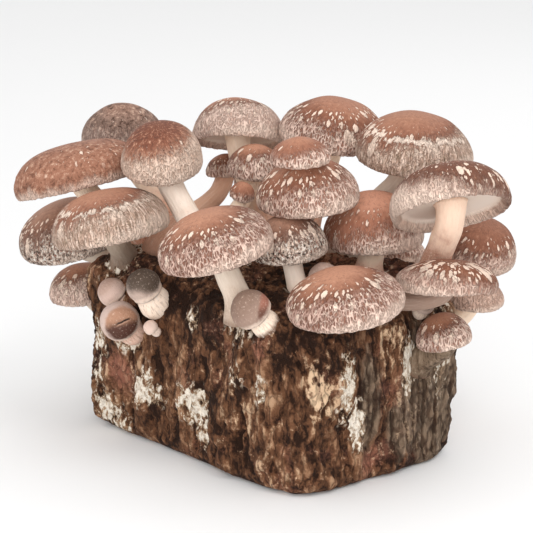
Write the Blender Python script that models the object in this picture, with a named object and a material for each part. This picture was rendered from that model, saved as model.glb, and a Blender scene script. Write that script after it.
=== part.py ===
# A shiitake grow block: one bark-skinned block of colonised sawdust, with open mushrooms
# and closed buttons growing from its top and sides.
# Metres, +Z up. The origin is the middle of the block's flat underside, +X along its length.

from collections import namedtuple
from math import cos, pi, radians, sin

import bmesh
import bpy
from mathutils import Euler, Matrix, Vector, noise

MM = 0.001

BLOCK_LENGTH = 190 * MM
BLOCK_WIDTH = 124 * MM
BLOCK_HEIGHT = 100 * MM
BLOCK_CUTS = (20, 13, 8)           # facets along the length, width and height
CORNER_RADIUS = 28 * MM            # the four upright edges
TOP_RADIUS = 22 * MM               # the edge round the top
FOOT_RADIUS = 9 * MM               # the edge round the underside
SIDE_BULGE = 1.5 * MM
TOP_LUMPS = 3.0 * MM
BARK_RELIEF = 3.2 * MM
BARK_SPACING = 16 * MM             # from one upright ridge to the next
BARK_STRETCH = 2.6                 # ridges are this much taller than wide
BARK_ON_TOP = 0.5                  # share of the ridges that is left on top
LUMP_SPACING = 35 * MM
LUMPS_FROM = 0.8                   # share of the height at which the lumps set in
LUMP_SHIFT = Vector((7.0, 3.0, 1.0))

GAP = 0.3 * MM                     # left between pieces that touch
FOOT_CLEARANCE = 0.6 * MM          # from a stem's foot to the bark it grows from

# Outline of a cap below its rim, as (share of the radius, share of the lip's depth)
LIP_DEPTH = 0.14                   # of the cap's radius
LIP_OUTLINE = ((0.94, -1.0), (0.80, 0.2))
GILL_LEVEL = 0.2                   # height of the gills over the rim, in lip depths
DOME_RINGS = 5
CAP_SIDES = ((24, 14), (16, 12), (0, 10))    # facets round a cap wider than each radius in mm
RIM_WAVE = 0.02                    # how far the rim wanders, as a share of the radius
WAVE_FROM = 0.6                    # share of the radius at which the wave sets in
WAVE_LIFT = 0.6                    # how much of it goes up and down

STEM_SIDES = 8
STEM_RINGS = 4
STEM_PULL_CAP = 0.32               # how long a stem keeps the cap's own direction
STEM_PULL_FOOT = 0.33
STEM_WAIST = 0.10                  # how much thinner a stem is halfway
TANGENT_STEP = 0.02
SHORT_NECKS = {"13": 0.14, "18": 0.24}    # stems that bend aside right under their gills

# The rim's centre, the foot, the radii and the dome's height are in millimetres, tilts in degrees.
# A full dome has a low shape number near 2, a flat-topped one a higher number.
Mushroom = namedtuple("Mushroom", "name rim radius dome shape tilt foot outward stem")

UP = (0, 0, 1)
FAR_SIDE = (0, 1, 0.35)
RIGHT_END = (1, 0, 0.35)
LEFT_END = (-1, 0, 0.35)

MUSHROOMS = (
    Mushroom("01", (-90, -59, 138), 37.5, 20.0, 2.6, (4, -15), (-72, -30, 94), UP, (6.5, 7.5)),
    Mushroom("02", (-119, -8, 148), 24.0, 22.0, 2.0, (1, -4), (-78, 0, 93), UP, (5.5, 6.5)),
    Mushroom("03", (-36, -43, 154), 22.5, 21.5, 2.1, (16, 14), (-6, -34, 93), UP, (7.0, 8.0)),
    Mushroom("04", (-40, -75, 122), 33.0, 20.0, 2.1, (7, -8), (-61, -50, 90), UP, (6.5, 7.5)),
    Mushroom("05", (-123, -42, 95), 30.5, 23.0, 2.1, (14, -3), (-88, -26, 84), LEFT_END, (6.0, 7.0)),
    Mushroom("06", (-124, -32, 63), 22.0, 15.5, 2.1, (8, -1), (-90, -24, 48), LEFT_END, (5.0, 6.0)),
    Mushroom("07", (45, -71, 126), 30.5, 19.0, 2.2, (14, -5), (48, -57, 85), UP, (6.5, 8.0)),
    Mushroom("08", (-52, 22, 156), 26.5, 22.5, 2.2, (-15, -15), (-40, 33, 94), UP, (6.5, 7.5)),
    Mushroom("09", (-6, 52, 160), 29.5, 22.0, 1.9, (-2, 6), (-4, 29, 95), UP, (6.5, 7.5)),
    Mushroom("10", (-71, 28, 133), 11.0, 10.0, 2.1, (3, -3), (-53, -35, 94), UP, (5.0, 8.0)),
    Mushroom("11", (-25, 12, 142), 16.0, 16.0, 2.1, (-4, 3), (-28, -16, 95), UP, (4.5, 5.5)),
    Mushroom("12", (50, -20, 166), 15.8, 11.0, 1.6, (4, 2), (47, -15, 158), UP, (4.0, 5.0)),
    Mushroom("13", (45, -10, 143), 27.0, 22.5, 1.5, (6, 1), (4, 13, 95), UP, (6.5, 8.0)),
    Mushroom("14", (48, -25, 118), 20.0, 20.0, 1.8, (7, -2), (57, -26, 88), UP, (5.5, 6.0)),
    Mushroom("15", (55.5, 26.5, 119), 27.5, 25.0, 1.6, (3, 1), (54, 24, 95), UP, (7.0, 8.0)),
    Mushroom("16", (54, 56, 158), 31.5, 23.5, 2.1, (-1, 7), (9, 45, 94), UP, (7.5, 8.5)),
    Mushroom("17", (108, -40.5, 104), 29.5, 18.0, 2.0, (9, 0), (80, -28, 90), RIGHT_END, (7.0, 8.0)),
    Mushroom("18", (110, 29, 144), 32.0, 21.5, 2.3, (-11, -29), (84, 38, 87), UP, (7.5, 8.5)),
    Mushroom("19", (59, 101, 100), 22.0, 18.5, 2.1, (3, 23), (40, 59, 76), FAR_SIDE, (6.0, 7.0)),
    Mushroom("20", (122, 15.5, 107.5), 26.0, 13.0, 2.3, (-7, -7), (83, 4, 93), RIGHT_END, (5.0, 6.0)),
    Mushroom("21", (70, 86, 77), 17.5, 12.0, 2.1, (-1, 4), (64, 58, 58), FAR_SIDE, (5.5, 6.5)),
    Mushroom("22", (110, 26, 75), 15.0, 13.0, 2.0, (11, -3), (87, 27, 56), (0.6, 0, 0.8), (7.0, 8.5)),
    Mushroom("23", (-72, 66, 122), 25.0, 20.0, 2.1, (-8, -9), (-56, 42, 94), UP, (6.0, 7.0)),
    Mushroom("24", (4, 90, 86), 19.0, 15.0, 2.1, (-10, -12), (4, 58, 60), FAR_SIDE, (5.0, 6.0)),
    Mushroom("25", (-12, -8, 134), 7.0, 8.0, 2.0, (0, 20), (-12, -16, 95), UP, (3.5, 4.0)),
)

GROWS_ON_CAP = {"12": "13"}        # the small mushroom that sits on the broad one's cap

# A closed button: the middle of its ball, the ball's radius, its stem's length and radius as
# shares of the ball's, and the way its top looks
Button = namedtuple("Button", "name centre radius stem_length stem_width top")

BUTTONS = (
    Button("01", (66, -66, 97), 10.5, 1.8, 0.72, (-0.16, -0.65, 0.70)),
    Button("02", (-18, -70, 93), 9.5, 2.0, 0.95, (-0.07, -0.55, 0.83)),
    Button("03", (-37, -72, 70), 11.0, 1.6, 0.72, (0.14, -0.77, 0.62)),
    Button("04", (-52, -66, 82), 8.0, 1.6, 0.75, (-0.30, -0.60, 0.75)),
    Button("05", (-11, -71, 72), 4.0, 1.6, 0.70, (-0.10, -0.75, 0.65)),
    Button("06", (98, 23, 91), 5.7, 1.8, 0.75, (0.60, -0.20, 0.70)),
    Button("07", (64, -16, 105), 8.0, 1.6, 0.70, (0.20, -0.20, 0.95)),
    Button("08", (-40, 67, 80), 10.0, 1.6, 0.72, (-0.20, 0.75, 0.65)),
)
BUTTON_SIDES = 9
# Outline of a button from its top down, in ball radii; the rest is its stem
BUTTON_OUTLINE = ((0.55, 0.86), (0.92, 0.42), (1.0, -0.08), (0.84, -0.52))
NECK_SHARE = 0.80                  # of the stem's radius, right under the ball
NECK_HEIGHT = -0.62                # in ball radii
BULB_SHARE = 0.55                  # of the stem's length, where it is widest
END_SHARE = 0.72                   # of the stem's radius, at its end inside the bark

MERGE_DISTANCE = 0.01 * MM
TINY = 1e-6
BARK_SHARP = radians(40)
CAP_SHARP = radians(60)
STEM_SHARP = radians(50)


def clear_scene():
    for thing in list(bpy.data.objects):
        bpy.data.objects.remove(thing, do_unlink=True)


def make_material(name, colour, roughness):
    material = bpy.data.materials.new(name)
    material.use_nodes = True
    shader = material.node_tree.nodes["Principled BSDF"]
    shader.inputs["Base Color"].default_value = (*colour, 1.0)
    shader.inputs["Roughness"].default_value = roughness
    shader.inputs["Metallic"].default_value = 0.0
    return material


def add_object(name, bm, material, sharp_angle=None):
    bmesh.ops.recalc_face_normals(bm, faces=bm.faces[:])
    mesh = bpy.data.meshes.new(name)
    bm.to_mesh(mesh)
    bm.free()
    mesh.materials.append(material)
    mesh.shade_smooth()
    if sharp_angle is not None:
        mesh.set_sharp_from_angle(angle=sharp_angle)
    obj = bpy.data.objects.new(name, mesh)
    bpy.context.collection.objects.link(obj)
    return obj


# The block

def plan_reach(direction, radius):
    """How far the block's plan, a rectangle with rounded corners, reaches in one direction."""
    run, rise = abs(direction.x), abs(direction.y)
    half = Vector((BLOCK_LENGTH / 2, BLOCK_WIDTH / 2))
    core = half - Vector((radius, radius))
    if run * core.y >= rise * half.x:
        return half.x / run
    if rise * core.x >= run * half.y:
        return half.y / rise
    along = run * core.x + rise * core.y
    return along + (along ** 2 - core.length_squared + radius ** 2) ** 0.5


def rounded_position(point):
    """Moves a point of the plain box onto the box with rounded edges."""
    half = Vector((BLOCK_LENGTH / 2, BLOCK_WIDTH / 2, BLOCK_HEIGHT / 2))
    radius = TOP_RADIUS if point.z > half.z else FOOT_RADIUS
    core = Vector((
        max(-half.x + radius, min(half.x - radius, point.x)),
        max(-half.y + radius, min(half.y - radius, point.y)),
        max(radius, min(BLOCK_HEIGHT - radius, point.z)),
    ))
    out = point - core
    if out.length > TINY:
        out = out.normalized() * radius
    place = core + out
    flat = place.to_2d()
    if flat.length > TINY:
        ray = flat.normalized()
        shrink = plan_reach(ray, CORNER_RADIUS) / plan_reach(ray, radius)
        place.x *= shrink
        place.y *= shrink
    return place


def bark_height(point):
    """How far the bark stands out at a point: tall ridges on the sides, soft lumps on top."""
    ridges = noise.noise(Vector((
        point.x / BARK_SPACING,
        point.y / BARK_SPACING,
        point.z / (BARK_SPACING * BARK_STRETCH),
    )))
    lumps = noise.noise(point / LUMP_SPACING + LUMP_SHIFT)
    upper = max(0.0, min(1.0, (point.z / BLOCK_HEIGHT - LUMPS_FROM) / (1 - LUMPS_FROM)))
    bark = BARK_RELIEF * ridges * (1 - (1 - BARK_ON_TOP) * upper)
    return 2 * bark + 2 * TOP_LUMPS * lumps * upper


def build_block_mesh():
    bm = bmesh.new()
    size = Matrix.Diagonal((BLOCK_LENGTH, BLOCK_WIDTH, BLOCK_HEIGHT, 1.0))
    lift = Matrix.Translation((0, 0, BLOCK_HEIGHT / 2))
    bmesh.ops.create_cube(bm, size=1.0, matrix=lift @ size)
    for axis, count in enumerate(BLOCK_CUTS):
        along = []
        for edge in bm.edges:
            run = edge.verts[0].co - edge.verts[1].co
            if abs(run[axis]) > 0.5 * run.length:
                along.append(edge)
        bmesh.ops.subdivide_edges(bm, edges=along, cuts=count - 1, use_grid_fill=True)
    for vert in bm.verts:
        vert.co = rounded_position(vert.co)
    underside = [face for face in bm.faces if max(vert.co.z for vert in face.verts) < TINY]
    bmesh.ops.dissolve_faces(bm, faces=underside)
    bm.normal_update()
    moves = {}
    for vert in bm.verts:
        rise = min(1.0, vert.co.z / FOOT_RADIUS)
        middle = sin(pi * min(1.0, vert.co.z / BLOCK_HEIGHT))
        moves[vert] = vert.normal * rise * (bark_height(vert.co) + SIDE_BULGE * middle)
    for vert, move in moves.items():
        vert.co += move
        if vert.co.z < TINY:
            vert.co.z = 0.0
    bmesh.ops.triangulate(bm, faces=bm.faces[:])
    return bm


def clearance_cutter(host):
    """A slightly larger copy of a piece, which trims what grows out of it."""
    bm = bmesh.new()
    bm.from_mesh(host.data)
    bm.normal_update()
    shifts = [(vert, vert.normal * FOOT_CLEARANCE) for vert in bm.verts]
    for vert, shift in shifts:
        vert.co += shift
    cutter = add_object(host.name + "_clearance", bm, host.data.materials[0])
    cutter.location = host.location
    cutter.rotation_euler = host.rotation_euler
    cutter.hide_render = True
    cutter.display_type = "WIRE"
    return cutter


def trim_foot(obj, cutter):
    trim = obj.modifiers.new("trim_foot", "BOOLEAN")
    trim.operation = "DIFFERENCE"
    trim.solver = "EXACT"
    trim.object = cutter


# Caps

def cap_outline(plan):
    """Radius and height of a cap's turned outline, from its top to the middle of its gills."""
    radius, dome = plan.radius * MM, plan.dome * MM
    outline = []
    for ring in range(DOME_RINGS + 1):
        angle = ring / DOME_RINGS * pi / 2
        share = sin(angle)
        height = (1 - share ** plan.shape) ** 0.5 if ring < DOME_RINGS else 0.0
        outline.append((share * radius, height * dome))
    for share, depth in LIP_OUTLINE:
        outline.append((share * radius, depth * LIP_DEPTH * radius))
    outline.append((0.0, gill_height(plan)))
    return outline


def gill_height(plan):
    return GILL_LEVEL * LIP_DEPTH * plan.radius * MM


def cap_sides(plan):
    return next(sides for radius, sides in CAP_SIDES if plan.radius > radius)


def turn_outline(outline, sides):
    """Turns an outline, which starts and ends on the axis, once round Z."""
    bm = bmesh.new()
    verts = [bm.verts.new((radius, 0.0, height)) for radius, height in outline]
    edges = [bm.edges.new(pair) for pair in zip(verts, verts[1:])]
    bmesh.ops.spin(bm, geom=verts + edges, cent=(0, 0, 0), axis=(0, 0, 1), angle=2 * pi,
                   steps=sides, use_merge=True)
    bmesh.ops.remove_doubles(bm, verts=bm.verts[:], dist=MERGE_DISTANCE)
    return bm


def rim_wave(angle, number):
    return sin(2 * angle + 1.7 * number) + 0.7 * sin(3 * angle + 2.9 * number)


def build_cap(plan, material):
    bm = turn_outline(cap_outline(plan), cap_sides(plan))
    radius, number = plan.radius * MM, int(plan.name)
    for vert in bm.verts:
        flat = vert.co.to_2d()
        share = flat.length / radius
        if share < WAVE_FROM:
            continue
        wave = RIM_WAVE * rim_wave(Vector((1, 0)).angle_signed(flat), number)
        wave *= (share - WAVE_FROM) / (1 - WAVE_FROM)
        vert.co.x *= 1 + wave
        vert.co.y *= 1 + wave
        vert.co.z += WAVE_LIFT * wave * radius
    cap = add_object("cap_" + plan.name, bm, material, CAP_SHARP)
    cap.location = Vector(plan.rim) * MM
    cap.rotation_euler = tilt_of(plan)
    return cap


def tilt_of(plan):
    return Euler((radians(plan.tilt[0]), radians(plan.tilt[1]), 0.0))


# Stems

def bezier(points, share):
    a, b, c, d = points
    rest = 1 - share
    return rest ** 3 * a + 3 * rest ** 2 * share * b + 3 * rest * share ** 2 * c + share ** 3 * d


def stem_route(plan):
    """The four control points of a stem, from under the gills to inside the block."""
    axis = tilt_of(plan).to_matrix() @ Vector((0, 0, 1))
    top = Vector(plan.rim) * MM + axis * (gill_height(plan) - GAP)
    foot = Vector(plan.foot) * MM
    reach = (top - foot).length
    pull = SHORT_NECKS.get(plan.name, STEM_PULL_CAP)
    outward = Vector(plan.outward).normalized()
    return top, top - axis * reach * pull, foot + outward * reach * STEM_PULL_FOOT, foot


def build_stem(plan, material):
    route = stem_route(plan)
    top_radius, foot_radius = plan.stem[0] * MM, plan.stem[1] * MM
    bm = bmesh.new()
    heading = tilt_of(plan).to_matrix() @ Vector((0, 0, -1))
    turn = Vector((0, 0, 1)).rotation_difference(heading)
    last_ring = None
    for ring in range(STEM_RINGS + 1):
        share = ring / STEM_RINGS
        centre = bezier(route, share)
        if ring:
            ahead = bezier(route, min(1.0, share + TANGENT_STEP))
            new_heading = (ahead - bezier(route, share - TANGENT_STEP)).normalized()
            turn = heading.rotation_difference(new_heading) @ turn
            heading = new_heading
        waist = 1 - STEM_WAIST * sin(pi * share)
        radius = (top_radius + (foot_radius - top_radius) * share) * waist
        place = Matrix.Translation(centre) @ turn.to_matrix().to_4x4()
        made = bmesh.ops.create_circle(bm, cap_ends=ring in (0, STEM_RINGS), segments=STEM_SIDES,
                                       radius=radius, matrix=place)
        loop = list({edge for vert in made["verts"] for edge in vert.link_edges
                     if edge.other_vert(vert) in made["verts"]})
        if last_ring:
            bmesh.ops.bridge_loops(bm, edges=last_ring + loop)
        last_ring = loop
    return add_object("stem_" + plan.name, bm, material, STEM_SHARP)


# Buttons

def build_button(plan, material):
    radius = plan.radius * MM
    outline = [(0.0, radius)]
    outline += [(share * radius, height * radius) for share, height in BUTTON_OUTLINE]
    neck, end = plan.stem_width * radius, -plan.stem_length * radius
    neck_height = NECK_HEIGHT * radius
    bulb_height = neck_height + BULB_SHARE * (end - neck_height)
    outline += [(NECK_SHARE * neck, neck_height), (neck, bulb_height), (END_SHARE * neck, end), (0.0, end)]
    bm = turn_outline(outline, BUTTON_SIDES)
    button = add_object("button_" + plan.name, bm, material, STEM_SHARP)
    button.location = Vector(plan.centre) * MM
    button.rotation_mode = "QUATERNION"
    button.rotation_quaternion = Vector((0, 0, 1)).rotation_difference(Vector(plan.top))
    return button


def main():
    clear_scene()
    bark = make_material("bark", (0.10, 0.055, 0.035), 0.9)
    cap_skin = make_material("cap_skin", (0.32, 0.17, 0.11), 0.75)
    stem_flesh = make_material("stem_flesh", (0.62, 0.48, 0.38), 0.8)
    button_skin = make_material("button_skin", (0.36, 0.26, 0.21), 0.75)

    block = add_object("block", build_block_mesh(), bark, BARK_SHARP)
    block_cutter = clearance_cutter(block)
    caps = {plan.name: build_cap(plan, cap_skin) for plan in MUSHROOMS}
    for plan in MUSHROOMS:
        cutter = block_cutter
        if plan.name in GROWS_ON_CAP:
            cutter = clearance_cutter(caps[GROWS_ON_CAP[plan.name]])
        trim_foot(build_stem(plan, stem_flesh), cutter)
    for plan in BUTTONS:
        trim_foot(build_button(plan, button_skin), block_cutter)


main()
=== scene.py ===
from math import cos, exp, pi, radians, sin, tau

import bmesh
import bpy
from mathutils import Euler, Matrix, Vector, noise


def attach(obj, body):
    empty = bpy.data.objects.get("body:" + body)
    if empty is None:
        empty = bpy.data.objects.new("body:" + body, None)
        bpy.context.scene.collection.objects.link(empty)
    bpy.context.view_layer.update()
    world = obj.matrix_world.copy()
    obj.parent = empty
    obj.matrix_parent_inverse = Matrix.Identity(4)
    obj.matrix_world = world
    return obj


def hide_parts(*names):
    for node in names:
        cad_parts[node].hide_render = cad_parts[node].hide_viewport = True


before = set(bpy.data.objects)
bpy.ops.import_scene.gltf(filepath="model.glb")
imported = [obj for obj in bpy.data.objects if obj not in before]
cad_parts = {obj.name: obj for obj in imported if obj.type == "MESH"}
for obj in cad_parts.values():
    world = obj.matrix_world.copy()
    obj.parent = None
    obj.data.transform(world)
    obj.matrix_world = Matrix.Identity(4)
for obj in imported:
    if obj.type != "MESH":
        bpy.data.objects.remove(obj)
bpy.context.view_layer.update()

mm = 0.001


# The view: the camera stands where the photographer stood

camera = {
    "azimuth": 50.07,
    "elevation": 14.26,
    "distance": 1.2,
    "aim": (-0.0003, -0.0004, 0.0957),
    "pixels": 533,             # the picture's width
    "pixelAtAim": 0.00054,     # metres of the object in one pixel
    "sensor": 36,              # millimetres
}


def placeCamera():
    turn, rise = radians(camera["azimuth"]), radians(camera["elevation"])
    back = Vector((sin(turn) * cos(rise), -cos(turn) * cos(rise), sin(rise)))
    data = bpy.data.cameras.new("camera")
    data.sensor_width = camera["sensor"]
    data.lens = camera["sensor"] * camera["distance"] / (camera["pixels"] * camera["pixelAtAim"])
    data.clip_end = 50
    holder = bpy.data.objects.new("camera", data)
    bpy.context.collection.objects.link(holder)
    holder.location = Vector(camera["aim"]) + back * camera["distance"]
    holder.rotation_mode = "QUATERNION"
    holder.rotation_quaternion = (-back).to_track_quat("-Z", "Y")
    bpy.context.scene.camera = holder


# Shader helpers

class Wire:
    # the output of a node; the operators add Math nodes to it

    def __init__(self, paint, socket):
        self.paint, self.socket = paint, socket

    def using(self, operation, *values):
        inputs = dict(enumerate(values))
        return self.paint.node("ShaderNodeMath", {"operation": operation}, inputs)

    def __add__(self, other):
        return self.using("ADD", self, other)

    def __radd__(self, other):
        return self.using("ADD", other, self)

    def __sub__(self, other):
        return self.using("SUBTRACT", self, other)

    def __rsub__(self, other):
        return self.using("SUBTRACT", other, self)

    def __mul__(self, other):
        return self.using("MULTIPLY", self, other)

    def __rmul__(self, other):
        return self.using("MULTIPLY", other, self)

    def size(self):
        # without its sign
        return self.using("ABSOLUTE", self)

    def clamped(self):
        return self.span(0.0, 1.0, "LINEAR")

    def span(self, low, high, kind="SMOOTHSTEP"):
        # 0 below low, 1 above high
        inputs = {"Value": self, "From Min": low, "From Max": high}
        return self.paint.node("ShaderNodeMapRange", {"interpolation_type": kind}, inputs)


class Paint:
    # one material and the nodes in it

    def __init__(self, name, roughness):
        self.material = bpy.data.materials.new(name)
        self.material.use_nodes = True
        self.tree = self.material.node_tree
        self.shader = self.tree.nodes["Principled BSDF"]
        self.shader.inputs["Roughness"].default_value = roughness
        self.shader.inputs["Specular IOR Level"].default_value = 0.2

    def put(self, socket, value):
        if isinstance(value, Wire):
            self.tree.links.new(value.socket, socket)
        elif isinstance(value, tuple) and len(socket.default_value) == 4:
            socket.default_value = (*value, 1.0)
        else:
            socket.default_value = value

    def node(self, kind, settings, inputs, output=0):
        made = self.tree.nodes.new(kind)
        for name, value in settings.items():
            setattr(made, name, value)
        for name, value in inputs.items():
            self.put(made.inputs[name], value)
        return Wire(self, made.outputs[output])

    def attribute(self, name, output="Vector"):
        return self.node("ShaderNodeAttribute", {"attribute_name": name}, {}, output)

    def number(self, name):
        return self.attribute(name, "Fac")

    def place(self):
        # where a point is, in millimetres
        return self.scaled(self.node("ShaderNodeTexCoord", {}, {}, "Object"), (1 / mm,) * 3)

    def split(self, vector):
        made = self.node("ShaderNodeSeparateXYZ", {}, {0: vector}).socket.node
        return [Wire(self, made.outputs[axis]) for axis in range(3)]

    def scaled(self, vector, scale, shift=(0.0, 0.0, 0.0)):
        inputs = {0: vector, 1: scale, 2: shift}
        return self.node("ShaderNodeVectorMath", {"operation": "MULTIPLY_ADD"}, inputs)

    def summed(self, one, other):
        return self.node("ShaderNodeVectorMath", {"operation": "ADD"}, {0: one, 1: other})

    def noise(self, vector, scale, detail=3.0, roughness=0.55, output=0):
        inputs = {"Vector": vector, "Scale": scale, "Detail": detail, "Roughness": roughness}
        return self.node("ShaderNodeTexNoise", {}, inputs, output)

    def cells(self, vector, scale, feature="F1", output="Distance"):
        inputs = {"Vector": vector, "Scale": scale}
        return self.node("ShaderNodeTexVoronoi", {"feature": feature}, inputs, output)

    def shaken(self, vector, scale, amount):
        # the pattern's coordinates, pushed about by noise
        push = self.noise(vector, scale, 2.0, output="Color")
        middle = self.scaled(push, (amount,) * 3, (-amount / 2,) * 3)
        return self.summed(vector, middle)

    def mix(self, share, one, other):
        return self.node("ShaderNodeMix", {"data_type": "RGBA"}, {0: share, 6: one, 7: other}, 2)

    def bump(self, height):
        # height is in millimetres
        inputs = {"Height": height, "Distance": mm, "Strength": 1.0}
        self.put(self.shader.inputs["Normal"], self.node("ShaderNodeBump", {}, inputs))

    def colour(self, value):
        self.put(self.shader.inputs["Base Color"], value)

    def roughness(self, value):
        self.put(self.shader.inputs["Roughness"], value)


# Mesh helpers

def smoothStep(value, low, high):
    share = max(0.0, min(1.0, (value - low) / (high - low)))
    return share * share * (3 - 2 * share)


def finishPiece(name, bm, material, node):
    bmesh.ops.recalc_face_normals(bm, faces=bm.faces[:])
    mesh = bpy.data.meshes.new(name)
    bm.to_mesh(mesh)
    bm.free()
    mesh.materials.append(material)
    mesh.shade_smooth()
    piece = bpy.data.objects.new(name, mesh)
    bpy.context.collection.objects.link(piece)
    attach(piece, "root")
    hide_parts(node)


def turnOutline(outline, steps):
    # turns an outline that starts and ends on the axis once round Z
    # each vertex keeps its number in the outline
    bm = bmesh.new()
    order = bm.verts.layers.int.new("order")
    verts = [bm.verts.new((radius, 0.0, height)) for radius, height in outline]
    for index, vert in enumerate(verts):
        vert[order] = index
    edges = [bm.edges.new(pair) for pair in zip(verts, verts[1:])]
    bmesh.ops.spin(bm, geom=verts + edges, cent=(0, 0, 0), axis=(0, 0, 1), angle=tau,
                   steps=steps, use_merge=True)
    bmesh.ops.remove_doubles(bm, verts=bm.verts[:], dist=0.00001)
    return bm


# The mushrooms: the same list of sizes and places as the solids, in millimetres and degrees

up = (0, 0, 1)
toFar = (0, 1, 0.35)
toRight = (1, 0, 0.35)
toLeft = (-1, 0, 0.35)

# number: rim centre, radius, dome, shape, tilt, foot, way out of the block, stem radii, looks
mushrooms = {
    "01": ((-90, -59, 138), 37.5, 20, 2.6, (4, -15), (-72, -30, 94), up, (6.5, 7.5), "coarse", "tan"),
    "02": ((-119, -8, 148), 24, 22, 2, (1, -4), (-78, 0, 93), up, (5.5, 6.5), "greyDome", "tan"),
    "03": ((-36, -43, 154), 22.5, 21.5, 2.1, (16, 14), (-6, -34, 93), up, (7, 8), "darkHeart", "pale"),
    "04": ((-40, -75, 122), 33, 20, 2.1, (7, -8), (-61, -50, 90), up, (6.5, 7.5), "torn", "dim"),
    "05": ((-123, -42, 95), 30.5, 23, 2.1, (14, -3), (-88, -26, 84), toLeft, (6, 7), "woolly", "grey"),
    "06": ((-124, -32, 63), 22, 15.5, 2.1, (8, -1), (-90, -24, 48), toLeft, (5, 6), "paleSide", "grey"),
    "07": ((45, -71, 126), 30.5, 19, 2.2, (14, -5), (48, -57, 85), up, (6.5, 8), "flecked", "grey"),
    "08": ((-52, 22, 156), 26.5, 22.5, 2.2, (-15, -15), (-40, 33, 94), up, (6.5, 7.5), "paleSide", "tan"),
    "09": ((-6, 52, 160), 29.5, 22, 1.9, (-2, 6), (-4, 29, 95), up, (6.5, 7.5), "darkFlecked", "tan"),
    "10": ((-71, 28, 133), 11, 10, 2.1, (3, -3), (-53, -35, 94), up, (5, 8), "netted", "brown"),
    "11": ((-25, 12, 142), 16, 16, 2.1, (-4, 3), (-28, -16, 95), up, (4.5, 5.5), "netted", "tan"),
    "12": ((50, -20, 166), 15.8, 11, 1.6, (4, 2), (47, -15, 158), up, (4, 5), "smooth", "tan"),
    "13": ((45, -10, 143), 27, 22.5, 1.5, (6, 1), (4, 13, 95), up, (6.5, 8), "ringed", "tan"),
    "14": ((48, -25, 118), 20, 20, 1.8, (7, -2), (57, -26, 88), up, (5.5, 6), "woolly", "pale"),
    "15": ((55.5, 26.5, 119), 27.5, 25, 1.6, (3, 1), (54, 24, 95), up, (7, 8), "brown", "tan"),
    "16": ((54, 56, 158), 31.5, 23.5, 2.1, (-1, 7), (9, 45, 94), up, (7.5, 8.5), "tornFar", "grey"),
    "17": ((108, -40.5, 104), 29.5, 18, 2, (9, 0), (80, -28, 90), toRight, (7, 8), "flecked", "pale"),
    "18": ((110, 29, 144), 32, 21.5, 2.3, (-11, -29), (84, 38, 87), up, (7.5, 8.5), "creamRim", "rusty"),
    "19": ((59, 101, 100), 22, 18.5, 2.1, (3, 23), (40, 59, 76), toFar, (6, 7), "darkBrown", "tan"),
    "20": ((122, 15.5, 107.5), 26, 13, 2.3, (-7, -7), (83, 4, 93), toRight, (5, 6), "bigFlecks", "dusky"),
    "21": ((70, 86, 77), 17.5, 12, 2.1, (-1, 4), (64, 58, 58), toFar, (5.5, 6.5), "pink", "tan"),
    "22": ((110, 26, 75), 15, 13, 2, (11, -3), (87, 27, 56), (0.6, 0, 0.8), (7, 8.5), "netted", "bark"),
    "23": ((-72, 66, 122), 25, 20, 2.1, (-8, -9), (-56, 42, 94), up, (6, 7), "flecked", "tan"),
    "24": ((4, 90, 86), 19, 15, 2.1, (-10, -12), (4, 58, 60), toFar, (5, 6), "netted", "tan"),
    "25": ((-12, -8, 134), 7, 8, 2, (0, 20), (-12, -16, 95), up, (3.5, 4), "smooth", "tan"),
}

cap = {
    "lipDepth": 0.14,          # of the radius, as on the solids
    "gillLevel": 0.2,
    "rimWave": 0.02,
    "domeRings": 34,
    # down round the lip and back in: share of the radius, height in lip depths
    "lip": ((0.997, -0.3), (0.985, -0.62), (0.965, -0.88), (0.94, -1.0), (0.91, -0.93),
            (0.88, -0.66), (0.85, -0.3), (0.82, 0.02)),
    "gillRings": (0.80, 0.72, 0.62, 0.52, 0.42, 0.32, 0.22, 0.1, 0.0),
    "gillRise": 0.05,
    "stepsPerMm": 6.4,         # facets round the cap for each millimetre of radius
    "shrink": 0.98,            # keeps lumps and fringe inside the solids
    "lump": 0.5,               # millimetres, as are the next four
    "pimple": 0.26,
    "pimpleSpacing": (1.7, 3.6),
    "fringe": 0.45,
    "fringeSpacing": (2.1, 0.9),
    "fringeFrom": 0.97,        # of the way down the skin
    "gillDepth": 0.5,
    "stretch": 0.52,           # flecks get longer and sparser from the top to the rim
}


def tiltOf(angles):
    return Euler((radians(angles[0]), radians(angles[1]), 0.0)).to_matrix()


def capOutline(radius, dome, shape):
    # radius, height and distance along the skin, from the top to under the stem
    lip = cap["lipDepth"] * radius
    gills = cap["gillLevel"] * lip
    points = []
    for ring in range(cap["domeRings"] + 1):
        angle = ring / cap["domeRings"] * pi / 2
        share = sin(angle)
        height = max(0.0, 1 - share ** shape) ** 0.5
        points.append((share * radius, height * dome))
    for share, depth in cap["lip"]:
        points.append((share * radius, depth * lip))
    rimPoint = len(points)
    for share in cap["gillRings"]:
        points.append((share * radius, gills + (cap["gillRings"][0] - share) * cap["gillRise"] * radius))
    along, reached = [0.0], 0.0
    for (r1, h1), (r2, h2) in zip(points, points[1:]):
        reached += ((r2 - r1) ** 2 + (h2 - h1) ** 2) ** 0.5
        along.append(reached)
    return points, along, rimPoint


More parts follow.
